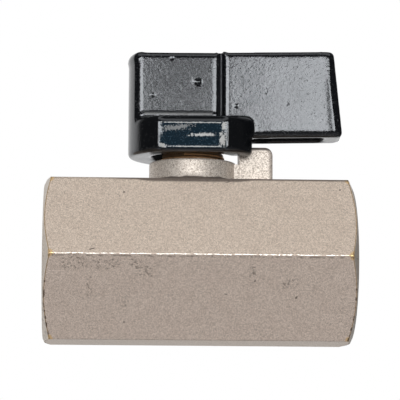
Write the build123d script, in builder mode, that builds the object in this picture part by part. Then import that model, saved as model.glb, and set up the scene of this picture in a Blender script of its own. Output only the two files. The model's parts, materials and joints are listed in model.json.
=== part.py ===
from build123d import *
import math
import os

os.makedirs("parts", exist_ok=True)

# All sizes in millimetres. The bore runs along X, the stem along Z,
# and Z is 0 on the underside of the hexagon.

# Hexagonal body, longer on the right of the stem, where the seats are held in
across_flats = 25.0
left_reach = 23.2
right_reach = 24.9
long_edge_round = 0.25
end_circle_d = 24.05
end_chamfer_angle = 25.0

# Female pipe-thread ports, bored to the major diameter of the half-inch thread
port_d = 20.955
port_depth = 10.5
port_entry_d = 22.0
flow_bore_d = 10.0

# Neck and stop lug on the top flat
neck_d = 13.7
neck_height = 3.25
neck_flare = 1.0
neck_edge_round = 0.35
lug_reach = 12.5
lug_thickness = 5.0
lug_height = 5.7
lug_root_depth = 1.0
lug_neck_gap = 0.4
lug_corner_round = 1.25
lug_edge_round = 0.7

# Ball, seats and the retainer that holds them in
ball_d = 15.5
ball_port_d = 9.5
ball_port_round = 0.3
chamber_clearance = 0.3
seat_d = 14.4
seat_bore_d = 9.8
seat_front = 4.6
seat_back = 8.4
seat_clearance = 0.05
fit_clearance = 0.05
retainer_d = 18.0
retainer_step = 0.4
retainer_slot_width = 3.0
retainer_slot_depth = 2.0

# Stem: tang in the ball, collar inside the body, flats in the handle
stem_d = 6.0
stem_clearance = 0.05
collar_d = 8.0
collar_height = 1.3
ball_top_gap = 0.2
tang_thickness = 3.0
tang_width = 6.4
tang_depth = 1.9
tang_clearance = 0.1
stem_flats = 4.6
stem_end_chamfer = 0.3
stem_over_hub = 0.3
stem_end_gap = 0.3

# Stem seals and gland nut
thrust_washer_height = 0.5
guide_height = 1.25
packing_d = 8.8
packing_ring_height = 1.0
gland_d = 9.7
gland_height = 4.3
gland_bore_clearance = 0.1
gland_slot_width = 1.2
gland_slot_depth = 0.9
gland_chamfer = 0.3

# Lever handle: round hub with two flats, a block over the stem and a thinner blade
lever_turn = -2.0
neck_to_hub = 0.85
hub_d = 20.3
hub_blade_reach = 9.2
hub_height = 5.6
hub_across_flats = 17.3
hub_corner_round = 1.2
hub_top_round = 0.9
hub_bottom_round = 0.5
hub_recess_d = 12.8
hub_recess_height = 1.8
stop_clearance = 0.3
stop_corner_round = 0.6
blade_over_hub_bottom = 2.8
blade_height = 13.55
block_thickness = 9.8
block_end_round = 1.6
block_edge_round = 0.9
blade_root_thickness = 7.7
blade_tip_thickness = 7.3
blade_slope = 1.0
tip_reach = 23.45
tip_lean = 5.8
tip_corner_round = 1.7
blade_edge_round = 0.7
groove_reach = 4.4
groove_width = 1.05
groove_depth = 0.85
groove_edge_round = 0.35
pocket_start = 9.4
pocket_wall = 1.35
pocket_tip_wall = 2.9
pocket_corner_round = 1.2
pocket_roof = 3.0
flats_clearance = 0.1

# Screw that clamps the handle, with its washer, at the foot of a well in the block
screw_d = 3.0
screw_length = 7.0
screw_head_d = 5.4
screw_head_height = 2.0
screw_head_round = 0.5
screw_drive_width = 0.8
screw_drive_length = 3.4
screw_drive_depth = 1.1
screw_clearance = 0.2
screw_seat_floor = 1.5
thread_clearance = 0.04
tapped_spare_depth = 0.8
screw_well_clearance = 0.1
washer_height = 0.6
washer_rim = 0.15

# Heights and places that follow from the sizes above
bore_z = across_flats / 2
corner_r = across_flats / math.sqrt(3)
flat_half_width = corner_r / 2
left_floor = left_reach - port_depth
right_floor = right_reach - port_depth
ball_r = ball_d / 2
chamber_r = ball_r + chamber_clearance
retainer_inner = seat_front + retainer_step
neck_top = across_flats + neck_height
collar_bottom = bore_z + ball_r + ball_top_gap
collar_top = collar_bottom + collar_height
washer_pocket_top = collar_top + thrust_washer_height
packing_floor = washer_pocket_top + guide_height
packing_top = packing_floor + 2 * packing_ring_height
gland_top = packing_top + gland_height
hub_bottom = neck_top + neck_to_hub
hub_top = hub_bottom + hub_height
hub_recess_top = hub_bottom + hub_recess_height
blade_bottom = hub_bottom + blade_over_hub_bottom
blade_top = blade_bottom + blade_height
blade_root = groove_reach - groove_width
stem_top = hub_top + stem_over_hub
flats_top = stem_top + stem_end_gap
screw_seat = flats_top + screw_seat_floor
screw_head_bottom = screw_seat + washer_height
screw_end = screw_head_bottom - screw_length
washer_outer_r = screw_head_d / 2 + washer_rim

bore_axis = Axis((0, 0, bore_z), (1, 0, 0))
lever = Plane.XY.rotated((0, 0, lever_turn))
lever_axis = Axis((0, 0, 0), lever.x_dir)
lever_cross = Plane(origin=(0, 0, 0), x_dir=lever.y_dir, z_dir=lever.x_dir)


def bore_section(x):
    """Plane across the bore at x, centred on the bore axis."""
    return Plane(origin=(x, 0, bore_z), x_dir=(0, 1, 0), z_dir=(1, 0, 0))


def bore_profile(side):
    """Plane along the bore, local x towards the end named by side, local y outward."""
    return Plane(origin=(0, 0, bore_z), x_dir=(side, 0, 0), z_dir=(0, -side, 0))


def finish(piece, name):
    """Name a finished piece and write it."""
    piece.part.label = name
    export_step(piece.part, f"parts/{name}.step")


def make_ring(name, bottom, height, outer_r, inner_r):
    """Flat ring about the stem."""
    with BuildPart() as flat_ring:
        with BuildSketch(Plane.XY.offset(bottom)):
            Circle(outer_r)
            Circle(inner_r, mode=Mode.SUBTRACT)
        extrude(amount=height)
    finish(flat_ring, name)


# Neck: turned boss whose flared foot is trimmed to the width of the top flat
with BuildPart() as neck:
    with BuildSketch(Plane.XZ):
        with BuildLine():
            foot = (neck_d / 2 + neck_flare, across_flats)
            waist = (neck_d / 2, across_flats + neck_flare)
            Polyline((0, neck_top), (0, bore_z), (foot[0], bore_z), foot)
            RadiusArc(foot, waist, neck_flare)
            Polyline(waist, (neck_d / 2, neck_top), (0, neck_top))
        make_face()
    revolve(axis=Axis.Z)
    fillet(neck.edges().group_by(Axis.Z)[-1], neck_edge_round)
    with BuildSketch(Plane.XY.offset(bore_z)):
        Rectangle(2 * neck_d, 2 * flat_half_width)
    extrude(amount=across_flats, mode=Mode.INTERSECT)

# Stop lug: upright tab beside the neck that the handle's skirt runs against
with BuildPart() as lug:
    with BuildSketch(Plane.XZ.offset(-lug_thickness / 2)):
        with BuildLine():
            lug_top = across_flats + lug_height
            lug_inner = neck_d / 2 + lug_neck_gap
            lug_root = neck_d / 2 - lug_root_depth
            lug_shoulder = neck_top - neck_edge_round
            Polyline(
                (lug_root, bore_z),
                (lug_reach, bore_z),
                (lug_reach, lug_top),
                (lug_inner, lug_top),
                (lug_inner, lug_shoulder),
                (lug_root, lug_shoulder),
                close=True,
            )
        make_face()
    extrude(amount=lug_thickness)
    outer_edges = lug.edges().filter_by(Axis.Y).group_by(Axis.X)[-1]
    fillet(outer_edges.sort_by(Axis.Z)[-1], lug_corner_round)
    fillet(lug.faces().sort_by(Axis.X)[-1].edges().filter_by(Axis.Z), lug_edge_round)

# Body: hexagonal bar with turned ends, bored from both sides and from the neck
with BuildPart() as body:
    with BuildSketch(bore_section(-left_reach)) as bar:
        RegularPolygon(radius=corner_r, side_count=6)
        fillet(bar.vertices(), long_edge_round)
    extrude(amount=left_reach + right_reach)
    chamfer_reach = corner_r - end_circle_d / 2
    chamfer_depth = chamfer_reach * math.tan(math.radians(end_chamfer_angle))
    with BuildSketch(bore_profile(1)):
        with BuildLine():
            Polyline(
                (-left_reach, 0),
                (-left_reach, end_circle_d / 2),
                (-left_reach + chamfer_depth, corner_r),
                (right_reach - chamfer_depth, corner_r),
                (right_reach, end_circle_d / 2),
                (right_reach, 0),
                close=True,
            )
        make_face()
    revolve(axis=bore_axis, mode=Mode.INTERSECT)
    add(neck.part)
    add(lug.part)

    # Ports with entry cones at both ends
    entry_depth = (port_entry_d - port_d) / 2
    for side, reach in ((-1, left_reach), (1, right_reach)):
        with BuildSketch(bore_profile(side)):
            with BuildLine():
                Polyline(
                    (reach - port_depth, 0),
                    (reach - port_depth, port_d / 2),
                    (reach - entry_depth, port_d / 2),
                    (reach, port_entry_d / 2),
                    (reach, 0),
                    close=True,
                )
            make_face()
        revolve(axis=bore_axis, mode=Mode.SUBTRACT)

    # Flow bore and seat pocket on the left, ball chamber, retainer bore on the right
    with BuildSketch(bore_section(-left_floor)):
        Circle(flow_bore_d / 2)
    extrude(amount=left_floor, mode=Mode.SUBTRACT)
    with BuildSketch(bore_section(-seat_back)):
        Circle(seat_d / 2 + fit_clearance)
    extrude(amount=seat_back, mode=Mode.SUBTRACT)
    with BuildSketch(bore_section(-seat_front)):
        Circle(chamber_r)
    extrude(amount=seat_front + retainer_inner, mode=Mode.SUBTRACT)
    with BuildSketch(bore_section(retainer_inner)):
        Circle(retainer_d / 2 + fit_clearance)
    extrude(amount=right_floor - retainer_inner, mode=Mode.SUBTRACT)

    # Stem way: collar pocket, guide, packing chamber and gland thread
    stem_way = (
        (bore_z, washer_pocket_top, collar_d / 2 + stem_clearance),
        (bore_z, neck_top, stem_d / 2 + stem_clearance),
        (packing_floor, neck_top, packing_d / 2),
        (packing_top, neck_top, gland_d / 2 + fit_clearance),
    )
    for bottom, top, radius in stem_way:
        with BuildSketch(Plane.XY.offset(bottom)):
            Circle(radius)
        extrude(amount=top - bottom, mode=Mode.SUBTRACT)
finish(body, "body")

# Seats: rings with a spherical face against the ball
for side, seat_name in ((-1, "left_seat"), (1, "right_seat")):
    with BuildPart() as seat:
        sphere_r = ball_r + seat_clearance
        seat_bore_r = seat_bore_d / 2
        with BuildSketch(bore_profile(side)):
            with BuildLine():
                face_outer = (seat_front, math.sqrt(sphere_r**2 - seat_front**2))
                face_inner = (math.sqrt(sphere_r**2 - seat_bore_r**2), seat_bore_r)
                Polyline(
                    face_inner,
                    (seat_back, seat_bore_r),
                    (seat_back, seat_d / 2),
                    (seat_front, seat_d / 2),
                    face_outer,
                )
                RadiusArc(face_outer, face_inner, sphere_r)
            make_face()
        revolve(axis=bore_axis)
    finish(seat, seat_name)

# Retainer: threaded ring with a seat pocket and a screwdriver slot
with BuildPart() as retainer:
    with BuildSketch(bore_section(retainer_inner)):
        Circle(retainer_d / 2)
        Circle(flow_bore_d / 2, mode=Mode.SUBTRACT)
    extrude(amount=right_floor - retainer_inner)
    with BuildSketch(bore_section(retainer_inner)):
        Circle(seat_d / 2 + fit_clearance)
    extrude(amount=seat_back - retainer_inner, mode=Mode.SUBTRACT)
    with BuildSketch(bore_section(right_floor)):
        Rectangle(retainer_slot_width, retainer_d)
    extrude(amount=-retainer_slot_depth, mode=Mode.SUBTRACT)
finish(retainer, "seat_retainer")

# Ball: bored along the lever, slotted across it for the stem
with BuildPart() as ball:
    with Locations((0, 0, bore_z)):
        Sphere(ball_r)
    with BuildSketch(lever_cross):
        with Locations((0, bore_z)):
            Circle(ball_port_d / 2)
    extrude(amount=ball_r, both=True, mode=Mode.SUBTRACT)
    fillet(ball.edges().filter_by(GeomType.CIRCLE), ball_port_round)
    slot_bottom = collar_bottom - tang_depth - 2 * tang_clearance
    with BuildSketch(lever.offset(slot_bottom)):
        Rectangle(tang_thickness + 2 * tang_clearance, ball_d)
    extrude(amount=ball_r, mode=Mode.SUBTRACT)
finish(ball, "ball")

# Stem
with BuildPart() as stem:
    with BuildSketch(Plane.XY.offset(collar_bottom)):
        Circle(collar_d / 2)
    extrude(amount=collar_height)
    with BuildSketch(Plane.XY.offset(collar_top)):
        Circle(stem_d / 2)
    extrude(amount=hub_recess_top - collar_top)
    with BuildSketch(lever.offset(hub_recess_top)):
        Circle(stem_d / 2)
        Rectangle(stem_d, stem_flats, mode=Mode.INTERSECT)
    extrude(amount=stem_top - hub_recess_top)
    chamfer(stem.edges().group_by(Axis.Z)[-1], stem_end_chamfer)
    with BuildSketch(lever.offset(collar_bottom - tang_depth)):
        Rectangle(tang_thickness, tang_width)
    extrude(amount=tang_depth)
    with BuildSketch(Plane.XY.offset(stem_top)):
        Circle(screw_d / 2)
    extrude(amount=screw_end - tapped_spare_depth - stem_top, mode=Mode.SUBTRACT)
finish(stem, "stem")

# Seals round the stem
running_r = stem_d / 2 + stem_clearance
make_ring("thrust_washer", collar_top, thrust_washer_height, collar_d / 2, running_r)
for level, ring_name in enumerate(("lower_packing_ring", "upper_packing_ring")):
    ring_bottom = packing_floor + level * packing_ring_height
    packing_r = packing_d / 2 - fit_clearance
    make_ring(ring_name, ring_bottom, packing_ring_height, packing_r, running_r)

# Gland nut: threaded ring with spanner slots that presses on the packing
with BuildPart() as gland_nut:
    with BuildSketch(Plane.XY.offset(packing_top)):
        Circle(gland_d / 2)
        Circle(stem_d / 2 + gland_bore_clearance, mode=Mode.SUBTRACT)
    extrude(amount=gland_height)
    top_rims = gland_nut.edges().group_by(Axis.Z)[-1]
    chamfer(top_rims.sort_by(SortBy.RADIUS)[-1], gland_chamfer)
    with BuildSketch(Plane.XY.offset(gland_top)):
        Rectangle(gland_d, gland_slot_width)
    extrude(amount=-gland_slot_depth, mode=Mode.SUBTRACT)
finish(gland_nut, "gland_nut")

# Handle hub: skirt round the gland, open over a quarter turn for the stop lug
with BuildPart() as hub:
    with BuildSketch(lever.offset(hub_bottom)) as hub_plan:
        Circle(hub_d / 2)
        with Locations((hub_blade_reach, 0)):
            Rectangle(
                2 * hub_d, hub_across_flats, align=(Align.MAX, Align.CENTER), mode=Mode.INTERSECT
            )
        fillet(hub_plan.vertices(), hub_corner_round)
    extrude(amount=hub_height)
    fillet(hub.edges().group_by(Axis.Z)[-1], hub_top_round)
    stop_face = lug_thickness / 2 + stop_clearance
    with BuildSketch(lever.offset(hub_bottom)):
        with Locations((-stop_face, -stop_face)):
            Rectangle(hub_d, hub_d, align=(Align.MIN, Align.MIN))
        Circle(hub_recess_d / 2, mode=Mode.SUBTRACT)
    extrude(amount=blade_over_hub_bottom, mode=Mode.SUBTRACT)
    skirt_mid = hub_bottom + blade_over_hub_bottom / 2
    open_corner = (hub_blade_reach, -stop_face, skirt_mid)
    closed_corner = (-stop_face, hub_across_flats / 2, skirt_mid)
    upright_edges = hub.edges().filter_by(Axis.Z)
    stop_edges = [
        upright_edges.sort_by_distance(lever.from_local_coords(corner))[0]
        for corner in (open_corner, closed_corner)
    ]
    fillet(stop_edges, stop_corner_round)
    with BuildSketch(lever.offset(hub_bottom)):
        Circle(hub_recess_d / 2)
    extrude(amount=hub_recess_height, mode=Mode.SUBTRACT)
    fillet(hub.faces().sort_by(Axis.Z)[0].edges(), hub_bottom_round)

# Handle block: stands on the hub over the stem, with a round end
with BuildPart() as block:
    with BuildSketch(lever.offset(blade_bottom)):
        Circle(hub_d / 2)
        with Locations((groove_reach, 0)):
            Rectangle(
                2 * hub_d, block_thickness, align=(Align.MAX, Align.CENTER), mode=Mode.INTERSECT
            )
    extrude(amount=blade_height)
    block_top = block.faces().sort_by(Axis.Z)[-1]
    fillet(block_top.edges().sort_by(lever_axis)[0], block_end_round)
    outline = block.edges().filter_by(lambda edge: edge.center().Z > blade_bottom)
    fillet(outline.sort_by(lever_axis)[1:-3], block_edge_round)


def blade_thickness(reach):
    """Thickness of the tapered blade at a distance from the stem."""
    share = (reach - groove_reach) / (tip_reach - groove_reach)
    return blade_root_thickness + share * (blade_tip_thickness - blade_root_thickness)


# Handle blade: tapered in plan, rising towards its leaning tip
with BuildPart() as blade:
    for rise in (-blade_edge_round, blade_height + blade_edge_round):
        with BuildSketch(lever.offset(blade_bottom + rise)) as blade_plan:
            reach = tip_reach - rise * math.tan(math.radians(tip_lean))
            root_half = blade_thickness(blade_root) / 2
            tip_half = blade_thickness(reach) / 2
            with BuildLine():
                Polyline(
                    (blade_root, -root_half),
                    (reach, -tip_half),
                    (reach, tip_half),
                    (blade_root, root_half),
                    close=True,
                )
            make_face()
            fillet(blade_plan.vertices().group_by(Axis.X)[-1], tip_corner_round)
    loft(ruled=True)
    for level, kept in ((blade_top, Keep.BOTTOM), (blade_bottom, Keep.TOP)):
        seam = lever.from_local_coords((groove_reach, 0, level))
        slope = Plane(seam, x_dir=lever.x_dir, z_dir=lever.z_dir).rotated((0, -blade_slope, 0))
        split(bisect_by=slope, keep=kept)
    for level_face in (blade.faces().sort_by(Axis.Z)[-1], blade.faces().sort_by(Axis.Z)[0]):
        fillet(level_face.edges().sort_by(lever_axis)[1:], blade_edge_round)

# Handle: hub, block and blade cast as one piece
with BuildPart() as handle:
    add(hub.part)
    add(block.part)
    add(blade.part)

    # Groove between block and blade on both sides
    groove_floor = blade_thickness(groove_reach) / 2 - groove_depth
    with BuildSketch(lever.offset(hub_top)):
        with Locations((groove_reach, groove_floor)):
            Rectangle(groove_width, block_thickness, align=(Align.CENTER, Align.MIN))
        with Locations((groove_reach, -groove_floor)):
            Rectangle(groove_width, block_thickness, align=(Align.CENTER, Align.MAX))
    extrude(amount=blade_height, mode=Mode.SUBTRACT)
    groove_mid = (hub_top + blade_top) / 2
    block_half = block_thickness / 2
    blade_half = blade_thickness(groove_reach + groove_width / 2) / 2
    groove_lips = [
        (groove_reach - groove_width / 2, -block_half, groove_mid),
        (groove_reach - groove_width / 2, block_half, groove_mid),
        (groove_reach + groove_width / 2, -blade_half, groove_mid),
        (groove_reach + groove_width / 2, blade_half, groove_mid),
    ]
    upright_edges = handle.edges().filter_by(Axis.Z)
    lip_edges = [
        upright_edges.sort_by_distance(lever.from_local_coords(lip))[0] for lip in groove_lips
    ]
    fillet(lip_edges, groove_edge_round)

    # Pocket that hollows the blade from below
    pocket_end = tip_reach - pocket_tip_wall
    pocket_width = blade_tip_thickness - 2 * pocket_wall
    with BuildSketch(lever.offset(blade_bottom)) as pocket_plan:
        with Locations((pocket_start, 0)):
            Rectangle(
                pocket_end - pocket_start, pocket_width, align=(Align.MIN, Align.CENTER)
            )
        fillet(pocket_plan.vertices(), pocket_corner_round)
    extrude(amount=blade_height - pocket_roof, mode=Mode.SUBTRACT)

    # Socket for the stem flats, screw hole and screw well
    with BuildSketch(lever.offset(hub_recess_top)):
        Circle(stem_d / 2 + flats_clearance)
        Rectangle(hub_d, stem_flats + 2 * flats_clearance, mode=Mode.INTERSECT)
    extrude(amount=flats_top - hub_recess_top, mode=Mode.SUBTRACT)
    with BuildSketch(Plane.XY.offset(flats_top)):
        Circle(screw_d / 2 + screw_clearance)
    extrude(amount=screw_seat_floor, mode=Mode.SUBTRACT)
    with BuildSketch(Plane.XY.offset(screw_seat)):
        Circle(washer_outer_r + screw_well_clearance)
    extrude(amount=blade_height, mode=Mode.SUBTRACT)
finish(handle, "handle")

# Handle screw with a cross recess
with BuildPart() as handle_screw:
    with BuildSketch(Plane.XY.offset(screw_head_bottom)):
        Circle(screw_head_d / 2)
    extrude(amount=screw_head_height)
    fillet(handle_screw.edges().group_by(Axis.Z)[-1], screw_head_round)
    with BuildSketch(Plane.XY.offset(screw_end)):
        Circle(screw_d / 2 - thread_clearance)
    extrude(amount=screw_length)
    with BuildSketch(lever.offset(screw_head_bottom + screw_head_height)):
        Rectangle(screw_drive_length, screw_drive_width)
        Rectangle(screw_drive_width, screw_drive_length)
    extrude(amount=-screw_drive_depth, mode=Mode.SUBTRACT)
finish(handle_screw, "handle_screw")

# Washer under the screw's head
washer_inner_r = screw_d / 2 + thread_clearance
make_ring("lock_washer", screw_seat, washer_height, washer_outer_r, washer_inner_r)
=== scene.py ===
import json
import math

import bmesh
import bpy
from mathutils import Matrix, Quaternion, Vector, noise


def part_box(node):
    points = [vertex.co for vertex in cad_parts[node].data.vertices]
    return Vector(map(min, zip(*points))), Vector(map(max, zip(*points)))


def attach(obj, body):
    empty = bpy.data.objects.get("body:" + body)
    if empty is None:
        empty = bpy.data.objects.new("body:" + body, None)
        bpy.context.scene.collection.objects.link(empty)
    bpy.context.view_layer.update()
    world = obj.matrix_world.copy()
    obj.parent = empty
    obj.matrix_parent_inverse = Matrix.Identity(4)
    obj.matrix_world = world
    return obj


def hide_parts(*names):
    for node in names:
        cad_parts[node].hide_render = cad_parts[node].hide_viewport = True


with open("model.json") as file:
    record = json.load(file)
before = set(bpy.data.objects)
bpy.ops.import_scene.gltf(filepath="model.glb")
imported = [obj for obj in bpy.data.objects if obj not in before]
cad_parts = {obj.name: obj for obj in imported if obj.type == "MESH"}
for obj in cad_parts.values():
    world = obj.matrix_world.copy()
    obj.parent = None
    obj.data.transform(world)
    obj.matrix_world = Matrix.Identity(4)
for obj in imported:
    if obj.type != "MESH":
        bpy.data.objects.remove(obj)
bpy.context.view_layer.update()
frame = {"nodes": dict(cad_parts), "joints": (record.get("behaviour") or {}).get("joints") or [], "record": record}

# Sizes in metres, read from the frame where it holds them
MM = 0.001
cad_nodes = frame["nodes"]
mounts = {mount["name"]: mount for mount in frame["record"]["mounts"]}
bore_z = mounts["right_port"]["pos_m"][2]
left_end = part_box("body")[0].x
right_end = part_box("body")[1].x
body_top = 2 * bore_z
hex_corner_r = bore_z * 2 / math.sqrt(3)
gland_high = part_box("gland_nut")[1]
gland_r = gland_high.x
neck_top = body_top + 3.25 * MM
neck_r = 6.85 * MM
lug_top = body_top + 5.7 * MM
lever_gap = math.radians(frame["joints"][0]["range_deg"][1])

# Turned ends of the hexagon, and the land rubbed along its middle edges
end_circle_r = 12.025 * MM
end_slope = 1 / math.tan(math.radians(25))
land_inset = 1.1 * MM
land_width = 0.25 * MM
land_sink = 0.12 * MM
land_drop = 0.025 * MM
land_steps = 420
land_rows = 7

# Pipe thread in the ports, and the finer thread on the gland nut
thread_pitch = 25.4 / 14 * MM
thread_depth = 0.64 * thread_pitch
thread_crest = 0.16 * thread_pitch
thread_sink = 0.02 * MM
thread_mouth_gap = 0.5 * MM
thread_weld = 0.0001 * MM
gland_pitch = 0.5 * MM
gland_thread_depth = 0.18 * MM
gland_thread_crest = 0.1 * gland_pitch
gland_thread_sink = 0.01 * MM
gland_thread_stop = 1.3 * gland_pitch
turn_points = 72

# Handle, in the lever's own frame: X along the lever, the front at -Y
flat_reach = 5.2 * MM
flat_low = 29.5 * MM
flat_high = 33.7 * MM
flat_y = 8.65 * MM
block_y = 4.9 * MM
block_foot = 35.85 * MM
blade_y = 3.8 * MM
blade_start = 9.4 * MM
blade_foot = 32.5 * MM
groove_x = 4.4 * MM
groove_half = 0.55 * MM
groove_y = 3.6 * MM
hub_top = 34.7 * MM
top_edges = 43.0 * MM
panel_y = 3.3 * MM

# How squarely a side of the handle faces out, and how near its plane a point counts as on it
side_facing = 0.7
block_near = 0.4 * MM
blade_near = 0.5 * MM
flat_near = 0.3 * MM

# Lacquer on the handle
skin_voxel = 0.18 * MM
skin_weld = 0.002 * MM
skin_rounds = 12
coat = 0.05 * MM
edge_fill = 0.14 * MM
end_fill = 0.70 * MM
tip_fill = 0.50 * MM
block_settle = 0.22 * MM
rim_slope = 0.09
lip_fill = 0.29 * MM
lip_reach = 1.0 * MM
groove_vee = 0.45
# Panels on each side: left edge, right edge, lean of the right edge, widths of the left and right rims
block_panel = (-8.40 * MM, 3.95 * MM, 0.0, 0.55 * MM, 0.60 * MM)
blade_panel = (4.90 * MM, 21.40 * MM, 0.151, 0.90 * MM, 0.45 * MM)
panel_mid = 41.5 * MM
foot_highlight_ends = (-7.6 * MM, 3.0 * MM)
foot_notch_ends = (-7.9 * MM, 3.0 * MM)
wave_length = 3.2 * MM
wave_height = 0.012 * MM
ripple_length = 0.9 * MM
ripple_height = 0.003 * MM
foot_ragged = 0.14 * MM
foot_length = 0.55 * MM
foot_slope = 0.14
flat_draft = 0.13
flat_rim = 0.8 * MM
flat_rim_slope = 0.14
# Steepness of a crater to each side of its middle, and how far it spreads
crater_left = 0.65
crater_right = 1.7
crater_upper = 1.4
crater_lower = 0.8
crater_spread = 0.6
# Craters: along the lever, height, side (-1 is the front), radius and depth
craters = (
    (0.95 * MM, 40.75 * MM, -1, 0.70 * MM, 0.15 * MM),
    (-6.17 * MM, 38.55 * MM, -1, 0.45 * MM, 0.06 * MM),
    (6.90 * MM, 37.00 * MM, -1, 0.40 * MM, 0.07 * MM),
    (14.80 * MM, 37.31 * MM, -1, 0.24 * MM, 0.05 * MM),
    (16.98 * MM, 41.52 * MM, -1, 0.30 * MM, 0.02 * MM),
    (-3.23 * MM, 44.51 * MM, -1, 0.35 * MM, 0.10 * MM),
    (-2.10 * MM, 39.50 * MM, 1, 0.45 * MM, 0.08 * MM),
    (12.40 * MM, 41.00 * MM, 1, 0.35 * MM, 0.06 * MM),
)
# Places on the hub's front flat, partly rubbed and partly painted highlights along its edges: along the lever,
# height, half length, half height and slant
flat_rubs_and_highlights = (
    (1.50 * MM, 31.60 * MM, 1.65 * MM, 0.22 * MM, 0.02),
    (4.55 * MM, 30.85 * MM, 0.45 * MM, 1.00 * MM, 0.00),
    (4.72 * MM, 33.00 * MM, 0.32 * MM, 0.60 * MM, 0.00),
    (-4.75 * MM, 29.85 * MM, 0.50 * MM, 0.30 * MM, -0.30),
    (0.30 * MM, 29.70 * MM, 4.00 * MM, 0.07 * MM, 0.00),
    (0.00 * MM, 33.52 * MM, 5.00 * MM, 0.08 * MM, 0.00),
)
# Fainter scuffs on the same flat, in the same order
flat_scuffs = (
    (-2.70 * MM, 32.72 * MM, 1.90 * MM, 0.34 * MM, 0.10),
)
# Dark marks on the front of the hexagon: along the bore, height, half length, half height and slant
dark_marks = (
    (4.66 * MM, 6.77 * MM, 0.26 * MM, 0.06 * MM, -0.10),
    (9.02 * MM, 8.72 * MM, 0.12 * MM, 0.14 * MM, 0.40),
    (15.41 * MM, 6.37 * MM, 0.16 * MM, 0.16 * MM, 0.60),
    (-10.67 * MM, 2.60 * MM, 0.12 * MM, 0.12 * MM, 0.00),
    (22.42 * MM, 23.28 * MM, 0.14 * MM, 0.12 * MM, 0.00),
    (-10.86 * MM, 22.54 * MM, 0.16 * MM, 0.12 * MM, 0.00),
    (-15.64 * MM, 13.20 * MM, 0.40 * MM, 0.10 * MM, 0.30),
    (5.75 * MM, 24.62 * MM, 1.00 * MM, 0.07 * MM, 0.37),
)
# Smudged patches under the front middle edge, in the same order
smudges = (
    (-18.2 * MM, 11.2 * MM, 2.0 * MM, 0.9 * MM, 0.00),
    (-13.6 * MM, 11.0 * MM, 1.9 * MM, 0.8 * MM, 0.00),
    (-8.3 * MM, 10.5 * MM, 1.8 * MM, 1.0 * MM, -0.25),
    (-10.6 * MM, 5.6 * MM, 0.5 * MM, 0.8 * MM, 0.00),
    (8.6 * MM, 9.6 * MM, 0.5 * MM, 1.3 * MM, 0.00),
    (14.4 * MM, 8.4 * MM, 1.6 * MM, 0.5 * MM, 0.30),
    (-16.0 * MM, 7.6 * MM, 0.4 * MM, 1.6 * MM, 0.00),
)
# Softness of the thin lines of dirt
line_soft = 0.06 * MM

# Camera of the photograph, and how far the lamps and the edge of the floor are
camera_azimuth = math.radians(-2.638)
camera_elevation = math.radians(-7.285)
camera_roll = math.radians(0.3)
camera_distance = 338.5 * MM
camera_target = Vector((1.194, -0.10, 22.524)) * MM
camera_lens = 193.53
lamp_distance = 0.6
floor_half = 0.6
floor_gap = 0.02 * MM


class Draw:
    """Short calls that add nodes to one node tree."""

    def __init__(self, tree):
        self.tree = tree

    def add(self, kind, inputs=None, **settings):
        made = self.tree.nodes.new(kind)
        for name, value in settings.items():
            setattr(made, name, value)
        for key, value in (inputs or {}).items():
            self.feed(made.inputs[key], value)
        return made

    def feed(self, socket, value):
        if isinstance(value, bpy.types.NodeSocket):
            self.tree.links.new(value, socket)
        else:
            socket.default_value = value

    def calc(self, operation, *values):
        return self.add("ShaderNodeMath", dict(enumerate(values)), operation=operation).outputs[0]

    def all_of(self, first, *others):
        """Product of masks."""
        for other in others:
            first = self.calc("MULTIPLY", first, other)
        return first

    def most_of(self, first, *others):
        """Largest of masks."""
        for other in others:
            first = self.calc("MAXIMUM", first, other)
        return first

    def ramp(self, value, low, high, to_low=0.0, to_high=1.0):
        """Smooth step from to_low to to_high as value goes from low to high."""
        ends = {"Value": value, "From Min": low, "From Max": high, "To Min": to_low, "To Max": to_high}
        return self.add("ShaderNodeMapRange", ends, interpolation_type="SMOOTHSTEP").outputs["Result"]

    def band(self, value, low, high, soft):
        """Mask of the values between low and high, with soft ends."""
        above = self.ramp(value, low - soft, low + soft)
        return self.all_of(above, self.ramp(value, high + soft, high - soft))

    def layers(self, *pairs):
        """Largest of masks, each weakened to its share."""
        return self.most_of(*(self.calc("MULTIPLY", mask, share) for mask, share in pairs))

    def mix(self, mask, first, second, share=1.0):
        """First colour, covered by the second where the mask is set."""
        if share < 1.0:
            mask = self.calc("MULTIPLY", mask, share)
        return self.add("ShaderNodeMix", {0: mask, 6: first, 7: second}, data_type="RGBA").outputs[2]

    def split(self, vector):
        return self.add("ShaderNodeSeparateXYZ", {0: vector}).outputs

    def join(self, x, y, z):
        return self.add("ShaderNodeCombineXYZ", {0: x, 1: y, 2: z}).outputs[0]

    def across(self, first, second):
        """Distance from an axis, from the two coordinates across it."""
        squares = [self.calc("POWER", side, 2.0) for side in (first, second)]
        return self.calc("SQRT", self.calc("ADD", *squares))

    def noise(self, vector, scale, detail=2.0, roughness=0.5):
        inputs = {"Vector": vector, "Scale": scale, "Detail": detail, "Roughness": roughness}
        return self.add("ShaderNodeTexNoise", inputs).outputs[0]

    def spots(self, vector, scale, low, high, detail=3.0, roughness=0.7):
        """Mask of scattered spots, where a noise rises from low to high."""
        return self.ramp(self.noise(vector, scale, detail, roughness), low, high)

    def group(self, tree, **inputs):
        made = self.add("ShaderNodeGroup", node_tree=tree)
        for name, value in inputs.items():
            self.feed(made.inputs[name.replace("_", " ")], value)
        return made.outputs

    def bump(self, height, distance, strength=1.0, **over):
        inputs = {"Height": height, "Distance": distance, "Strength": strength, **over}
        return self.add("ShaderNodeBump", inputs).outputs[0]


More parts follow.
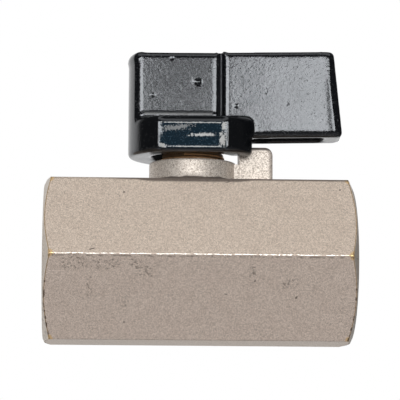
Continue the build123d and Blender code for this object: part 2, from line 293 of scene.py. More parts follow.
def new_group(name, inputs, outputs):
    """Shader node group with named sockets, and its input and output nodes."""
    tree = bpy.data.node_groups.new(name, "ShaderNodeTree")
    tree.interface.new_socket("Vector", in_out="INPUT", socket_type="NodeSocketVector")
    for socket_name in inputs:
        tree.interface.new_socket(socket_name, in_out="INPUT", socket_type="NodeSocketFloat")
    for socket_name in outputs:
        tree.interface.new_socket(socket_name, in_out="OUTPUT", socket_type="NodeSocketFloat")
    draw = Draw(tree)
    return tree, draw, draw.add("NodeGroupInput").outputs, draw.add("NodeGroupOutput").inputs


def grain_group():
    """Fine grain of a blasted or cast face, a broad mottle and scattered pits."""
    tree, draw, given, out = new_group("grain", ("Grains per metre",), ("Height", "Mottle", "Pits"))
    place = given["Vector"]
    density = given["Grains per metre"]
    fine = draw.noise(place, density, 3.0, 0.65)
    coarse = draw.noise(place, draw.calc("MULTIPLY", density, 0.38), 2.0, 0.5)
    draw.feed(out["Height"], draw.calc("MULTIPLY_ADD", fine, 0.8, draw.calc("MULTIPLY", coarse, 0.2)))
    draw.feed(out["Mottle"], draw.noise(place, draw.calc("MULTIPLY", density, 0.05), 3.0, 0.6))
    spots = draw.noise(place, draw.calc("MULTIPLY", density, 0.3), 1.0, 0.4)
    draw.feed(out["Pits"], draw.ramp(spots, 0.70, 0.78))
    return tree


def wear_group():
    """Breaks up a plain edge mask into chips and rubs."""
    tree, draw, given, out = new_group("edge_wear", ("Edge", "Chips per metre"), ("Mask",))
    chips = draw.noise(given["Vector"], given["Chips per metre"], 3.0, 0.6)
    worn = draw.calc("MULTIPLY", given["Edge"], draw.calc("ADD", chips, 0.45))
    draw.feed(out["Mask"], draw.ramp(worn, 0.45, 0.8))
    return tree


def mark_group():
    """Ragged spot or streak on a face, from two coordinates in that face."""
    inputs = ("Along", "Up", "Middle along", "Middle up", "Half length", "Half height", "Slant", "Ragged")
    tree, draw, given, out = new_group("mark", inputs, ("Mask",))
    along = draw.calc("SUBTRACT", given["Along"], given["Middle along"])
    up = draw.calc("SUBTRACT", given["Up"], given["Middle up"])
    up = draw.calc("SUBTRACT", up, draw.calc("MULTIPLY", given["Slant"], along))
    reach = draw.calc("ABSOLUTE", draw.calc("DIVIDE", along, given["Half length"]))
    rise = draw.calc("ABSOLUTE", draw.calc("DIVIDE", up, given["Half height"]))
    squared = draw.calc("ADD", draw.calc("POWER", reach, 4.0), draw.calc("POWER", rise, 4.0))
    distance = draw.calc("POWER", squared, 0.25)
    uneven = draw.calc("SUBTRACT", draw.noise(given["Vector"], 3200.0, 3.0, 0.7), 0.5)
    ragged = draw.calc("MULTIPLY_ADD", uneven, given["Ragged"], distance)
    draw.feed(out["Mask"], draw.ramp(ragged, 1.2, 0.8))
    return tree


def turned_group():
    """Fine rings left by turning, from a radius and a length along the axis."""
    tree, draw, given, out = new_group("turned_marks", ("Radius", "Length", "Rings per metre"), ("Height",))
    rings = given["Rings per metre"]
    across = draw.calc("MULTIPLY", given["Radius"], rings)
    along = draw.calc("MULTIPLY", given["Length"], rings)
    draw.feed(out["Height"], draw.noise(draw.join(across, along, 0.0), 1.0, 2.0, 0.6))
    return tree


grain = grain_group()
edge_wear = wear_group()
mark = mark_group()
turned_marks = turned_group()


def new_material(name, **sockets):
    """Material with a Principled shader whose plain values are set on its sockets."""
    material = bpy.data.materials.new(name)
    material.use_nodes = True
    shader = material.node_tree.nodes["Principled BSDF"]
    for socket_name, value in sockets.items():
        shader.inputs[socket_name.replace("_", " ")].default_value = value
    draw = Draw(material.node_tree)
    place = draw.add("ShaderNodeTexCoord").outputs["Object"]
    return material, draw, shader.inputs, place


def marks_on(draw, place, along, up, marks, ragged):
    """Mask of every mark in a list of places on one face."""
    masks = []
    for middle_along, middle_up, half_length, half_height, slant in marks:
        spot = draw.group(
            mark,
            Vector=place,
            Along=along,
            Up=up,
            Middle_along=middle_along,
            Middle_up=middle_up,
            Half_length=half_length,
            Half_height=half_height,
            Slant=slant,
            Ragged=ragged,
        )
        masks.append(spot["Mask"])
    return draw.most_of(*masks)


def from_ends(draw, x):
    """Distance along the bore from the nearer end of the hexagon."""
    return draw.calc("MINIMUM", draw.calc("SUBTRACT", right_end, x), draw.calc("SUBTRACT", x, left_end))


def nickel():
    """Blasted champagne nickel, rubbed to brass at the corners, dirty in patches, and darkened with painted shade
    along edges.
    """
    material, draw, shader, place = new_material("nickel")
    x, y, z = draw.split(place)
    radius = draw.across(y, draw.calc("SUBTRACT", z, bore_z))
    cone_r = draw.calc("MULTIPLY_ADD", from_ends(draw, x), end_slope, end_circle_r)
    under_cone = draw.calc("SUBTRACT", radius, cone_r)
    stem_r = draw.across(x, y)
    front = draw.ramp(y, -3 * MM, -4 * MM)
    on_bar = draw.ramp(z, body_top + 0.3 * MM, body_top + 0.1 * MM)

    # Blasted grain, greyer turned ends and dark specks
    specks = draw.group(grain, Vector=place, Grains_per_metre=9000.0)
    broad = draw.ramp(specks["Mottle"], 0.35, 0.65)
    tone = draw.ramp(specks["Height"], 0.42, 0.58)
    bar_pale = draw.mix(broad, (0.855, 0.72, 0.608, 1), (0.895, 0.762, 0.645, 1))
    bar = draw.mix(tone, (0.53, 0.435, 0.355, 1), bar_pale)
    # The neck and lug are paler than the bar: partly a whiter turned finish, partly painted highlight
    neck_tone = draw.ramp(specks["Height"], 0.40, 0.54)
    neck = draw.mix(neck_tone, (0.38, 0.305, 0.24, 1), (1.0, 0.915, 0.825, 1))
    colour = draw.mix(on_bar, neck, bar)
    cone_face = draw.ramp(under_cone, -0.06 * MM, 0.0)
    on_cone = draw.all_of(cone_face, on_bar, draw.ramp(radius, 11.0 * MM, 11.8 * MM))
    colour = draw.mix(on_cone, colour, (0.74, 0.69, 0.62, 1), 0.6)
    clusters = draw.spots(place, 260.0, 0.42, 0.62, 3.0, 0.6)
    strewn = draw.all_of(draw.spots(place, 3600.0, 0.58, 0.68, 2.0, 0.6), clusters)
    pitted = draw.layers((specks["Pits"], 0.35), (strewn, 0.45))
    colour = draw.mix(pitted, colour, (0.22, 0.18, 0.16, 1))

    # Brass bared at the corners, and a brown line with pits along the arcs of the ends
    by_end = draw.ramp(under_cone, -2.4 * MM, -0.5 * MM)
    by_corner = draw.ramp(radius, hex_corner_r - 0.7 * MM, hex_corner_r - 0.15 * MM)
    corner = draw.all_of(by_end, by_corner, on_bar)
    rubbed = draw.group(edge_wear, Vector=place, Edge=corner, Chips_per_metre=1600.0)
    colour = draw.mix(rubbed["Mask"], colour, (0.76, 0.53, 0.27, 1), 0.9)
    arc_edge = draw.all_of(draw.band(under_cone, -0.34 * MM, -0.08 * MM, line_soft), on_bar)
    arc_line = draw.group(edge_wear, Vector=place, Edge=arc_edge, Chips_per_metre=700.0)
    colour = draw.mix(arc_line["Mask"], colour, (0.34, 0.22, 0.10, 1))
    arc_low = draw.all_of(
        draw.band(under_cone, -0.55 * MM, -0.02 * MM, line_soft),
        draw.ramp(z, 10.5 * MM, 9.0 * MM),
        on_bar,
    )
    arc_pits = draw.all_of(arc_low, draw.spots(place, 1500.0, 0.50, 0.58, 2.0, 0.6))
    colour = draw.mix(arc_pits, colour, (0.09, 0.06, 0.04, 1), 0.85)

    # Painted shade on the top edge, round the foot of the neck, on the lug and under the middle edge; dirt in
    # patches
    # Painted shade along the top edge of the hexagon, wider beside the neck
    by_neck = draw.ramp(draw.calc("ABSOLUTE", x), 9.5 * MM, 6.0 * MM, 0.0, 0.35 * MM)
    top_edge_shade = draw.all_of(
        draw.ramp(radius, hex_corner_r - 0.45 * MM, hex_corner_r - 0.2 * MM),
        draw.ramp(draw.calc("ADD", z, by_neck), body_top - 0.42 * MM, body_top - 0.15 * MM),
        draw.ramp(x, -16.0 * MM, -9.0 * MM, 0.2, 0.95),
        on_bar,
    )
    # Painted shade in a ragged band round the foot of the neck, where it meets the hexagon
    uneven = draw.calc("MULTIPLY", draw.noise(place, 420.0, 3.0, 0.6), 0.75 * MM)
    foot = draw.all_of(
        draw.ramp(draw.calc("SUBTRACT", z, uneven), body_top + 0.08 * MM, body_top - 0.06 * MM),
        draw.ramp(z, body_top - 0.3 * MM, body_top),
        draw.ramp(stem_r, neck_r + 1.9 * MM, neck_r + 1.3 * MM),
    )
    # Painted shade along the lug's top edge, under the handle's blade
    lug_edge_shade = draw.all_of(
        draw.ramp(z, lug_top - 0.62 * MM, lug_top - 0.36 * MM),
        draw.ramp(x, neck_r, neck_r + 1 * MM),
    )
    fine_spots = draw.spots(place, 2600.0, 0.50, 0.62)
    smudge = draw.all_of(marks_on(draw, place, x, z, smudges, 1.6), fine_spots, front)
    marked = draw.all_of(marks_on(draw, place, x, z, dark_marks, 0.5), front)
    # Painted shadow in a broken line just under the bright middle edge
    shade_under_edge = draw.all_of(
        draw.band(z, bore_z - 0.42 * MM, bore_z - 0.22 * MM, line_soft),
        draw.spots(place, 1300.0, 0.46, 0.60),
        front,
    )
    dirt_and_shade = draw.layers(
        (top_edge_shade, 0.85),
        (foot, 0.9),
        (lug_edge_shade, 0.8),
        (smudge, 0.6),
        (marked, 0.75),
        (shade_under_edge, 0.5),
    )
    # One dark colour for the dirt and for the painted shade
    colour = draw.mix(dirt_and_shade, colour, (0.06, 0.045, 0.038, 1))

    plated = draw.ramp(on_bar, 0.0, 1.0, 0.35, 0.6)
    matt = draw.ramp(specks["Height"], 0.3, 0.7, 0.52, 0.40)
    draw.feed(shader["Base Color"], colour)
    draw.feed(shader["Metallic"], draw.all_of(plated, draw.ramp(dirt_and_shade, 0.0, 1.0, 1.0, 0.3)))
    draw.feed(shader["Roughness"], draw.calc("MULTIPLY_ADD", dirt_and_shade, 0.4, matt))
    draw.feed(shader["Normal"], draw.bump(specks["Height"], 0.03 * MM, 0.5))
    return material


def rubbed_nickel():
    """Nickel burnished bright along the middle edges, worn to brass at its ends."""
    material, draw, shader, place = new_material("rubbed_nickel", Metallic=1.0)
    x = draw.split(place)["X"]
    near_end = draw.ramp(from_ends(draw, x), 2.4 * MM, 1.4 * MM)
    specks = draw.group(grain, Vector=place, Grains_per_metre=4200.0)
    bright = draw.mix(draw.ramp(specks["Height"], 0.36, 0.6), (0.74, 0.66, 0.56, 1), (0.95, 0.91, 0.85, 1))
    draw.feed(shader["Base Color"], draw.mix(near_end, bright, (0.86, 0.62, 0.30, 1)))
    draw.feed(shader["Roughness"], draw.ramp(specks["Height"], 0.3, 0.7, 0.42, 0.26))
    draw.feed(shader["Normal"], draw.bump(specks["Height"], 0.01 * MM, 0.5))
    return material


def lacquer():
    """Thick black gloss lacquer, duller in the grooves, rubbed through on the hub's front flat, with painted
    highlights along that flat's edges and at a panel's foot, and a painted blue reflection on the flats.
    """
    cool = (0.92, 0.955, 1.0, 1)
    material, draw, shader, place = new_material("lacquer", IOR=1.65, Specular_Tint=cool)
    turned = {"Vector": place, "Rotation": (0, 0, lever_gap)}
    u, v, z = draw.split(draw.add("ShaderNodeMapping", turned).outputs[0])
    out = draw.calc("ABSOLUTE", v)
    front = draw.ramp(v, 1 * MM, -1 * MM)
    on_flat = draw.all_of(
        draw.ramp(out, flat_y - 0.55 * MM, flat_y - 0.4 * MM),
        draw.band(u, -flat_reach, flat_reach, 0.08 * MM),
        draw.band(z, flat_low, flat_high, 0.1 * MM),
    )
    in_groove = draw.all_of(
        draw.band(u, groove_x - groove_half, groove_x + groove_half, 0.12 * MM),
        draw.ramp(out, groove_y + 0.1 * MM, groove_y - 0.2 * MM),
        draw.ramp(z, hub_top, hub_top + 0.2 * MM),
    )
    over_hub = draw.ramp(z, block_foot - 0.3 * MM, block_foot)
    past_hub = draw.ramp(u, blade_start, blade_start + 0.3 * MM)
    on_panel = draw.all_of(draw.ramp(out, panel_y, panel_y + 0.2 * MM), draw.most_of(over_hub, past_hub))

    # Places rubbed to the casting, with painted highlights along the flat's edges and a painted highlight line at
    # the foot of the block's panel
    rubbed = draw.all_of(on_flat, front, marks_on(draw, place, u, z, flat_rubs_and_highlights, 3.5))
    scuffed = draw.all_of(on_flat, front, marks_on(draw, place, u, z, flat_scuffs, 5.0))
    foot_highlight = draw.all_of(
        draw.band(z, block_foot - 0.56 * MM, block_foot - 0.26 * MM, 0.05 * MM),
        draw.band(out, block_y - 0.3 * MM, block_y + 0.3 * MM, 0.05 * MM),
        draw.band(u, *foot_highlight_ends, 0.2 * MM),
    )
    worn = draw.most_of(rubbed, draw.layers((scuffed, 0.4), (foot_highlight, 0.35)))

    # Black, with a painted blue reflection and painted glints on the flats, and dusty on the panels
    specks = draw.group(grain, Vector=place, Grains_per_metre=3600.0)
    black = draw.mix(specks["Mottle"], (0.003, 0.0035, 0.0045, 1), (0.005, 0.0055, 0.007, 1))
    colour = draw.mix(on_flat, black, (0.006, 0.018, 0.030, 1))
    # Painted glints: pale blue specks on the flats
    flat_glints = draw.all_of(on_flat, draw.ramp(specks["Height"], 0.54, 0.66))
    colour = draw.mix(flat_glints, colour, (0.06, 0.10, 0.13, 1), 0.7)
    clouds = draw.ramp(draw.noise(place, 380.0, 3.0, 0.6), 0.35, 0.65, 0.08, 0.45)
    dust = draw.all_of(draw.spots(place, 3000.0, 0.52, 0.68, 2.0), on_panel, clouds)
    colour = draw.mix(dust, colour, (0.12, 0.125, 0.13, 1))
    # Grey where the lacquer is rubbed through, and for the painted highlights
    colour = draw.mix(worn, colour, (0.50, 0.50, 0.49, 1))

    # Pinholes and ragged feet of the panels, sunk into the skin
    pinholes = draw.spots(place, 4200.0, 0.71, 0.79, 1.0, 0.5)
    lowered = draw.calc("SUBTRACT", z, 0.25 * MM)
    jagged = draw.calc("MULTIPLY_ADD", draw.noise(place, 1600.0, 3.0, 0.7), 0.5 * MM, lowered)
    block_notch = draw.all_of(
        draw.band(jagged, block_foot - 0.18 * MM, block_foot + 0.05 * MM, 0.05 * MM),
        draw.band(u, *foot_notch_ends, 0.2 * MM),
    )
    blade_notch = draw.all_of(
        draw.band(jagged, blade_foot - 0.12 * MM, blade_foot + 0.02 * MM, 0.05 * MM),
        draw.ramp(u, blade_start, blade_start + 0.4 * MM),
    )
    notched = draw.most_of(block_notch, blade_notch)
    sunk = draw.most_of(pinholes, notched)
    coarse = draw.bump(draw.calc("SUBTRACT", 1.0, sunk), 0.06 * MM)
    peel = draw.calc("MULTIPLY_ADD", draw.noise(place, 1700.0, 3.0, 0.7), 2.0, specks["Height"])

    gloss = draw.ramp(specks["Mottle"], 0.3, 0.7, 0.08, 0.12)
    dull = draw.layers((in_groove, 0.2), (worn, 0.4), (notched, 0.5))
    draw.feed(shader["Base Color"], colour)
    draw.feed(shader["Roughness"], draw.calc("ADD", gloss, dull))
    draw.feed(shader["Normal"], draw.bump(peel, 0.009 * MM, Normal=coarse))
    return material


def brass(name, axis, bright, tarnished, shade_below_r=0.0, metallic=1.0):
    """Bare brass turned about the X or Z axis, with painted shade in the roots of a thread, below a given radius.
    """
    material, draw, shader, place = new_material(name, Metallic=metallic)
    x, y, z = draw.split(place)
    if axis == "X":
        length, radius = x, draw.across(y, draw.calc("SUBTRACT", z, bore_z))
    else:
        length, radius = z, draw.across(x, y)
    rings = draw.group(turned_marks, Radius=radius, Length=length, Rings_per_metre=7000.0)
    specks = draw.group(grain, Vector=place, Grains_per_metre=2200.0)
    colour = draw.mix(draw.ramp(specks["Mottle"], 0.35, 0.7), bright, tarnished)
    colour = draw.mix(specks["Pits"], colour, (0.12, 0.07, 0.03, 1), 0.6)
    # Painted shade in the roots of the thread
    root_shade = draw.ramp(radius, shade_below_r + 0.02 * MM, shade_below_r - 0.04 * MM)
    colour = draw.mix(root_shade, colour, (0.06, 0.035, 0.02, 1), 0.85)
    draw.feed(shader["Base Color"], colour)
    draw.feed(shader["Roughness"], draw.ramp(rings["Height"], 0.3, 0.7, 0.26, 0.42))
    draw.feed(shader["Normal"], draw.bump(rings["Height"], 0.012 * MM, 0.7))
    return material


def chrome():
    """Polished chrome of the ball, with faint lapping marks."""
    material, draw, shader, place = new_material("chrome", Metallic=1.0)
    specks = draw.group(grain, Vector=place, Grains_per_metre=1800.0)
    colour = draw.mix(specks["Mottle"], (0.74, 0.75, 0.77, 1), (0.82, 0.82, 0.83, 1))
    draw.feed(shader["Base Color"], colour)
    draw.feed(shader["Roughness"], draw.ramp(specks["Mottle"], 0.3, 0.7, 0.06, 0.14))
    draw.feed(shader["Normal"], draw.bump(specks["Height"], 0.001 * MM, 0.5))
    return material


def seal_plastic():
    """Waxy white seat and packing plastic."""
    material, draw, shader, place = new_material("seal_plastic")
    specks = draw.group(grain, Vector=place, Grains_per_metre=1500.0)
    colour = draw.mix(specks["Mottle"], (0.82, 0.82, 0.78, 1), (0.90, 0.90, 0.88, 1))
    draw.feed(shader["Base Color"], colour)
    draw.feed(shader["Roughness"], draw.ramp(specks["Height"], 0.3, 0.7, 0.38, 0.5))
    draw.feed(shader["Normal"], draw.bump(specks["Height"], 0.006 * MM, 0.4))
    return material


def zinc():
    """Zinc-plated steel of the screw and washer."""
    material, draw, shader, place = new_material("zinc", Metallic=1.0)
    specks = draw.group(grain, Vector=place, Grains_per_metre=2600.0)
    colour = draw.mix(draw.ramp(specks["Mottle"], 0.35, 0.65), (0.60, 0.61, 0.64, 1), (0.66, 0.63, 0.56, 1))
    draw.feed(shader["Base Color"], draw.mix(specks["Pits"], colour, (0.25, 0.23, 0.21, 1)))
    draw.feed(shader["Roughness"], draw.ramp(specks["Height"], 0.3, 0.7, 0.25, 0.4))
    draw.feed(shader["Normal"], draw.bump(specks["Height"], 0.01 * MM, 0.5))
    return material


nickel_finish = nickel()
rubbed_finish = rubbed_nickel()
lacquer_finish = lacquer()
plain_brass = ((0.70, 0.48, 0.20, 1), (0.48, 0.29, 0.10, 1))
brown_brass = ((1.0, 0.62, 0.34, 1), (0.66, 0.36, 0.18, 1))
bore_brass = brass("brass_along_bore", "X", *plain_brass)
stem_brass = brass("brass_along_stem", "Z", *plain_brass)
gland_brass = brass("brown_gland_brass", "Z", *brown_brass, shade_below_r=gland_r + 0.02 * MM, metallic=0.35)
chrome_finish = chrome()
seal_finish = seal_plastic()
zinc_finish = zinc()

node_finishes = {
    "body": nickel_finish,
    "seat_retainer": bore_brass,
    "left_seat": seal_finish,
    "right_seat": seal_finish,
    "ball": chrome_finish,
    "stem": stem_brass,
    "thrust_washer": seal_finish,
    "lower_packing_ring": seal_finish,
    "upper_packing_ring": seal_finish,
    "gland_nut": gland_brass,
    "handle": lacquer_finish,
    "handle_screw": zinc_finish,
    "lock_washer": zinc_finish,
}
for node_name, finish in node_finishes.items():
    cad_nodes[node_name].material_slots[0].material = finish


def add_piece(name, data):
    """New object in the scene from a mesh, lamp or camera."""
    piece = bpy.data.objects.new(name, data)
    bpy.context.scene.collection.objects.link(piece)
    return piece


def new_tree(name, numbers, vectors):
    """Geometry tree with named inputs for its sizes, places and finish."""
    tree = bpy.data.node_groups.new(name, "GeometryNodeTree")
    tree.interface.new_socket("Geometry", in_out="OUTPUT", socket_type="NodeSocketGeometry")
    for socket_name in numbers:
        tree.interface.new_socket(socket_name, in_out="INPUT", socket_type="NodeSocketFloat")
    for socket_name in vectors:
        tree.interface.new_socket(socket_name, in_out="INPUT", socket_type="NodeSocketVector")
    tree.interface.new_socket("Finish", in_out="INPUT", socket_type="NodeSocketMaterial")
    draw = Draw(tree)
    return tree, draw, draw.add("NodeGroupInput").outputs


def end_tree(draw, geometry, finish):
    """Ends a geometry tree with real faces in their finish."""
    real = draw.add("GeometryNodeRealizeInstances", {"Geometry": geometry}).outputs[0]
    done = draw.add("GeometryNodeSetMaterial", {"Geometry": real, "Material": finish}).outputs[0]
    draw.feed(draw.add("NodeGroupOutput").inputs[0], done)


def thread_tree():
    """Helical ridge of trapezoid section about an axis, from its base radius inward or outward."""
    numbers = ("Radius", "Pitch", "Turns", "Depth", "Crest", "Inward")
    tree, draw, given = new_tree("thread_ridge", numbers, ("Place", "Turned"))
    path = draw.add(
        "GeometryNodeCurveSpiral",
        {
            "Resolution": turn_points,
            "Rotations": given["Turns"],
            "Start Radius": given["Radius"],
            "End Radius": given["Radius"],
            "Height": draw.calc("MULTIPLY", given["Pitch"], given["Turns"]),
        },
    ).outputs[0]
    path = draw.add("GeometryNodeSetCurveNormal", {"Curve": path}, mode="Z_UP").outputs[0]
    section = draw.add(
        "GeometryNodeCurvePrimitiveQuadrilateral",
        {
            "Bottom Width": given["Pitch"],
            "Top Width": given["Crest"],
            "Height": given["Depth"],
            "Offset": 0.0,
        },
        mode="TRAPEZOID",
    ).outputs[0]
    lift = draw.join(0.0, draw.calc("MULTIPLY", given["Depth"], 0.5), 0.0)
    section = draw.add("GeometryNodeTransform", {"Geometry": section, "Translation": lift}).outputs[0]
    quarter = draw.join(0.0, 0.0, draw.calc("MULTIPLY", given["Inward"], -math.pi / 2))
    section = draw.add("GeometryNodeTransform", {"Geometry": section, "Rotation": quarter}).outputs[0]
    sweep = {"Curve": path, "Profile Curve": section, "Fill Caps": True}
    ridge = draw.add("GeometryNodeCurveToMesh", sweep).outputs[0]
    placed = draw.add(
        "GeometryNodeTransform",
        {"Geometry": ridge, "Translation": given["Place"], "Rotation": given["Turned"]},
    ).outputs[0]
    end_tree(draw, placed, given["Finish"])
    return tree


def land_tree():
    """Flat strip of uneven width along a middle edge, with its rims sunk into the body."""
    tree, draw, given = new_tree("rubbed_land", ("Length", "Width", "Reach", "Sink", "Side"), ("Place",))
    size = {"Size X": given["Length"], "Size Y": 1.0, "Vertices X": land_steps, "Vertices Y": land_rows}
    sheet = draw.add("GeometryNodeMeshGrid", size).outputs[0]
    x, row, _ = draw.split(draw.add("GeometryNodeInputPosition").outputs[0])
    along = draw.join(x, given["Side"], 0.0)
    uneven = draw.noise(along, 1900.0, 3.0, 0.7)
    wander = draw.calc("MULTIPLY", draw.calc("SUBTRACT", draw.noise(along, 400.0), 0.5), given["Width"])
    broken = draw.ramp(draw.noise(along, 900.0, 2.0), 0.44, 0.38)
    width = draw.calc("MULTIPLY", given["Width"], draw.ramp(uneven, 0.40, 0.62, 0.35, 1.35))
    rise = draw.calc("MULTIPLY_ADD", row, width, wander)
    rim = draw.ramp(draw.calc("ABSOLUTE", row), 0.30, 0.5)
    sink = draw.calc("MULTIPLY", given["Sink"], draw.calc("MAXIMUM", rim, broken))
    lean = draw.calc("MULTIPLY", row, draw.calc("MULTIPLY", width, 0.05))
    out = draw.calc("SUBTRACT", draw.calc("SUBTRACT", given["Reach"], sink), lean)
    outward = draw.calc("MULTIPLY", given["Side"], -1.0)
    spot = draw.join(draw.calc("MULTIPLY", x, given["Side"]), draw.calc("MULTIPLY", out, outward), rise)
    moved = draw.add("GeometryNodeSetPosition", {"Geometry": sheet, "Position": spot}).outputs[0]
    placing = {"Geometry": moved, "Translation": given["Place"]}
    placed = draw.add("GeometryNodeTransform", placing).outputs[0]
    end_tree(draw, placed, given["Finish"])
    return tree


thread_ridge = thread_tree()
rubbed_land = land_tree()


def plain_mesh(name, tree, **values):
    """Mesh made by a geometry tree, as a piece that rides the valve's body."""
    carrier = add_piece(name + "_carrier", bpy.data.meshes.new(name))
    maker = carrier.modifiers.new("maker", "NODES")
    maker.node_group = tree
    for socket in tree.interface.items_tree:
        if socket.in_out == "INPUT":
            maker[socket.identifier] = values[socket.name]
    depsgraph = bpy.context.evaluated_depsgraph_get()
    mesh = bpy.data.meshes.new_from_object(carrier.evaluated_get(depsgraph))
    bpy.data.objects.remove(carrier)
    mesh.name = name
    piece = add_piece(name, mesh)
    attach(piece, "valve_body")
    return piece


def close_thread(piece):
    """Merges the doubles of a thread and points its faces outwards."""
    shape = bmesh.new()
    shape.from_mesh(piece.data)
    bmesh.ops.remove_doubles(shape, verts=shape.verts, dist=thread_weld)
    bmesh.ops.recalc_face_normals(shape, faces=shape.faces)
    shape.to_mesh(piece.data)
    shape.free()


def port_threads():
    """Right-handed pipe thread in each port, from its floor to just inside the mouth."""
    for port in ("left_port", "right_port"):
        side = mounts[port]["axis"][0]
        port_length = mounts[port]["dims"]["length_mm"] * MM
        start = mounts[port]["pos_m"][0] - side * (port_length - thread_pitch) / 2
        piece = plain_mesh(
            port + "_thread",
            thread_ridge,
            Radius=mounts[port]["dims"]["r_mm"] * MM + thread_sink,
            Pitch=thread_pitch,
            Turns=(port_length - thread_mouth_gap - thread_pitch) / thread_pitch,
            Depth=thread_depth,
            Crest=thread_crest,
            Inward=1.0,
            Place=(start, 0.0, bore_z),
            Turned=(0.0, side * math.pi / 2, 0.0),
            Finish=nickel_finish,
        )
        close_thread(piece)


def gland_thread():
    """Fine thread on the part of the gland nut that stands out of the neck."""
    low = neck_top + gland_pitch / 2
    high = gland_high.z - gland_thread_stop
    piece = plain_mesh(
        "gland_thread",
        thread_ridge,
        Radius=gland_r - gland_thread_sink,
        Pitch=gland_pitch,
        Turns=(high - low) / gland_pitch,
        Depth=gland_thread_depth,
        Crest=gland_thread_crest,
        Inward=-1.0,
        Place=(0.0, 0.0, low),
        Turned=(0.0, 0.0, 0.0),
        Finish=gland_brass,
    )
    close_thread(piece)


def rubbed_lands():
    """Bright land along the front and the back middle edge."""
    for name, side in (("front_land", 1.0), ("back_land", -1.0)):
        piece = plain_mesh(
            name,
            rubbed_land,
            Length=right_end - left_end - 2 * land_inset,
            Width=land_width,
            Reach=hex_corner_r - land_drop,
            Sink=land_sink,
            Side=side,
            Place=((left_end + right_end) / 2, 0.0, bore_z),
            Finish=rubbed_finish,
        )


port_threads()
gland_thread()
rubbed_lands()


def crater_height(along, up):
    """Dent with a long slope on its left and a steep one on its right, from places in crater radii."""
    along *= crater_left if along < 0 else crater_right
    up *= crater_upper if up > 0 else crater_lower
    return -math.exp(-((math.hypot(along, up) / crater_spread) ** 2))


def foot_drop(point, foot):
    """How far the lacquer falls back below the ragged foot of a side face."""
    ragged = noise.noise(Vector((point.x / foot_length, math.copysign(5.0, point.y), foot / MM)))
    return foot_slope * max(foot + foot_ragged * ragged - point.z, 0.0)


def rim_drop(point, panel):
    """How far the lacquer falls away towards the left and right edges of a panel."""
    left, right, lean, left_rim, right_rim = panel
    right += lean * (panel_mid - point.z)
    into_left = min(max(left + left_rim - point.x, 0.0), left_rim)
    into_right = min(max(point.x - right + right_rim, 0.0), right_rim)
    return rim_slope * (into_left**2 / left_rim + into_right**2 / right_rim)


def flat_drop(point):
    """How far a flat of the hub leans back with height, and falls away at its ends."""
    inner = min(max((flat_reach - abs(point.x)) / flat_rim, 0.0), 1.0)
    ends = flat_rim_slope * flat_rim * (1.0 - inner)
    return flat_draft * (point.z - (flat_low + flat_high) / 2) * inner + ends


def paint_height(point, normal):
    """How far the lacquer stands out at a point of the handle, in the lever's own frame."""
    height = coat + wave_height * noise.noise(point / wave_length)
    height += ripple_height * noise.noise(point / ripple_length)
    if point.z > top_edges:
        fill = edge_fill * math.hypot(normal.x, normal.y) + end_fill * max(-normal.x, 0.0)
        height += max(normal.z, 0.0) * fill
    at_tip = min(max((point.x - blade_panel[1]) / MM + 1.0, 0.0), 1.0)
    height += at_tip * tip_fill * max(normal.x, 0.0) * abs(normal.y)
    from_groove = abs(point.x - groove_x)
    if from_groove < lip_reach and point.z > hub_top:
        height += lip_fill * abs(normal.x * normal.y) * min((lip_reach - from_groove) / groove_half, 1.0)
    if abs(normal.y) < side_facing:
        return height
    out = abs(point.y)
    if abs(out - block_y) < block_near and point.x < groove_x:
        height -= foot_drop(point, block_foot) + rim_drop(point, block_panel)
    elif abs(out - blade_y) < blade_near and point.x > groove_x:
        height -= rim_drop(point, blade_panel)
        if point.x > blade_start:
            height -= foot_drop(point, blade_foot)
    elif from_groove < groove_half and point.z > hub_top:
        height -= groove_vee * (groove_half - from_groove)
    elif out > flat_y - flat_near and abs(point.x) < flat_reach:
        height -= flat_drop(point)
    for along, level, side, radius, depth in craters:
        if normal.y * side > side_facing:
            height += depth * crater_height((point.x - along) / radius, (point.z - level) / radius)
    return height


def settle(point):
    """How far the top of the block lies below that of the CAD handle."""
    up = min(max((point.z - block_foot) / (top_edges - block_foot), 0.0), 1.0)
    along = min(max((groove_x - groove_half - point.x) / groove_half, 0.0), 1.0)
    return block_settle * up * along


def lacquered_handle():
    """The handle as thick lacquer covers it, with soft edges, waves and craters."""
    blank = cad_nodes["handle"].data.copy()
    turn = Matrix.Rotation(lever_gap, 4, "Z")
    shape = bmesh.new()
    shape.from_mesh(blank)
    bmesh.ops.remove_doubles(shape, verts=shape.verts, dist=skin_weld)
    shape.transform(turn)
    shape.to_mesh(blank)
    shape.free()
    carrier = add_piece("handle_blank", blank)
    voxels = carrier.modifiers.new("voxels", "REMESH")
    voxels.mode = "VOXEL"
    voxels.voxel_size = skin_voxel
    depsgraph = bpy.context.evaluated_depsgraph_get()
    mesh = bpy.data.meshes.new_from_object(carrier.evaluated_get(depsgraph))
    bpy.data.objects.remove(carrier)
    shape = bmesh.new()
    shape.from_mesh(mesh)
    for _ in range(skin_rounds):
        bmesh.ops.smooth_vert(
            shape, verts=shape.verts, factor=0.5, use_axis_x=True, use_axis_y=True, use_axis_z=True
        )
    shape.normal_update()
    down = Vector((0, 0, -1))
    moves = []
    for vert in shape.verts:
        moves.append(vert.normal * paint_height(vert.co, vert.normal) + down * settle(vert.co))
    for vert, move in zip(shape.verts, moves):
        vert.co += move
    for face in shape.faces:
        face.smooth = True
    shape.transform(turn.inverted())
    shape.to_mesh(mesh)
    shape.free()
    mesh.materials.clear()
    mesh.materials.append(lacquer_finish)
    piece = add_piece("lacquered_handle", mesh)
    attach(piece, "lever")
    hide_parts("handle")


lacquered_handle()


def direction(azimuth, elevation):
    """Unit vector from the object towards a place; azimuth 0 is the front."""
    return Vector(
        (
            math.sin(azimuth) * math.cos(elevation),
            -math.cos(azimuth) * math.cos(elevation),
            math.sin(elevation),
        )
    )


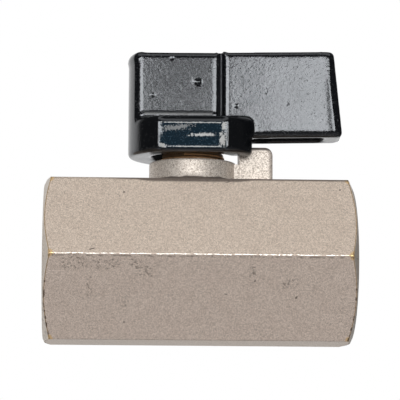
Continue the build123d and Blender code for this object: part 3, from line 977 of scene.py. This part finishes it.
def camera():
    """Camera that stands where the photograph was taken."""
    back = direction(camera_azimuth, camera_elevation)
    data = bpy.data.cameras.new("camera")
    data.lens = camera_lens
    data.clip_start = 0.01
    seat = add_piece("camera", data)
    seat.location = camera_target + back * camera_distance
    seat.rotation_mode = "QUATERNION"
    seat.rotation_quaternion = (-back).to_track_quat("-Z", "Y") @ Quaternion((0, 0, 1), camera_roll)
    bpy.context.scene.camera = seat


def softbox(name, azimuth, elevation, width, height, radiance):
    """Rectangular lamp that faces the object; the angles are in degrees."""
    away = direction(math.radians(azimuth), math.radians(elevation))
    data = bpy.data.lights.new(name, "AREA")
    data.shape = "RECTANGLE"
    data.size = width
    data.size_y = height
    data.energy = radiance * math.pi * width * height
    lamp = add_piece(name, data)
    lamp.location = camera_target + away * lamp_distance
    lamp.rotation_mode = "QUATERNION"
    lamp.rotation_quaternion = (-away).to_track_quat("-Z", "Y")


def studio_light():
    """Two bright boxes that the handle's panels mirror, and a broad dim one above."""
    softbox("right_box", 11.9, 10.0, 0.24, 0.13, 7.4)
    softbox("left_box", -15.5, 10.0, 0.22, 0.13, 8.0)
    softbox("top_box", 0.0, 58.0, 0.70, 0.45, 0.95)


def studio_world():
    """White for the camera and behind the valve, with a dim room and a grey ground in front of it."""
    room_light = 0.04
    plain_light = 0.35
    world = bpy.data.worlds.new("studio")
    bpy.context.scene.world = world
    world.use_nodes = True
    draw = Draw(world.node_tree)
    background = world.node_tree.nodes["Background"]
    towards = draw.split(draw.add("ShaderNodeTexCoord").outputs["Generated"])
    leftwards = draw.calc("MULTIPLY_ADD", towards["X"], -0.3, towards["Y"])
    behind = draw.all_of(
        draw.ramp(leftwards, 0.56, 0.85),
        draw.ramp(towards["Z"], 0.75, 0.35),
        draw.ramp(towards["Z"], -0.2, 0.1, 0.85, 1.0),
    )
    near = draw.ramp(towards["Z"], -0.02, -0.15, 0.0, 0.15)
    below = draw.ramp(towards["Z"], -0.4, -0.7, 0.0, 0.60)
    ground = draw.all_of(draw.calc("MAXIMUM", near, below), draw.ramp(towards["Y"], 0.3, -0.1))
    room = draw.most_of(behind, ground, room_light)
    path = draw.add("ShaderNodeLightPath").outputs
    mirrored = draw.calc("MAXIMUM", path["Is Glossy Ray"], path["Is Transmission Ray"])
    lit = draw.calc("MULTIPLY_ADD", mirrored, draw.calc("SUBTRACT", room, plain_light), plain_light)
    tinted = draw.calc("MULTIPLY", ground, mirrored)
    draw.feed(background.inputs["Color"], draw.mix(tinted, (1, 1, 1, 1), (0.97, 0.94, 1.06, 1)))
    draw.feed(background.inputs["Strength"], draw.calc("MAXIMUM", lit, path["Is Camera Ray"]))


def pale_floor():
    """Floor under the valve, open to a camera that looks from below."""
    mesh = bpy.data.meshes.new("floor")
    half = floor_half
    corners = [(-half, -half, 0), (half, -half, 0), (half, half, 0), (-half, half, 0)]
    mesh.from_pydata(corners, [], [(0, 1, 2, 3)])
    floor = add_piece("floor", mesh)
    floor.location.z = -floor_gap
    material, draw, shader, place = new_material("pale_floor", Roughness=0.7)
    colour = draw.mix(draw.noise(place, 60.0), (0.84, 0.84, 0.83, 1), (0.87, 0.87, 0.86, 1))
    draw.feed(shader["Base Color"], colour)
    clear = draw.add("ShaderNodeBsdfTransparent").outputs[0]
    under = draw.add("ShaderNodeNewGeometry").outputs["Backfacing"]
    output = material.node_tree.nodes["Material Output"]
    solid = output.inputs["Surface"].links[0].from_socket
    shown = draw.add("ShaderNodeMixShader", {0: under, 1: solid, 2: clear}).outputs[0]
    draw.feed(output.inputs["Surface"], shown)
    mesh.materials.append(material)
    floor.visible_diffuse = False
    floor.visible_glossy = False
    floor.visible_shadow = False


camera()
studio_light()
studio_world()
pale_floor()
bpy.context.scene.view_settings.view_transform = "Standard"
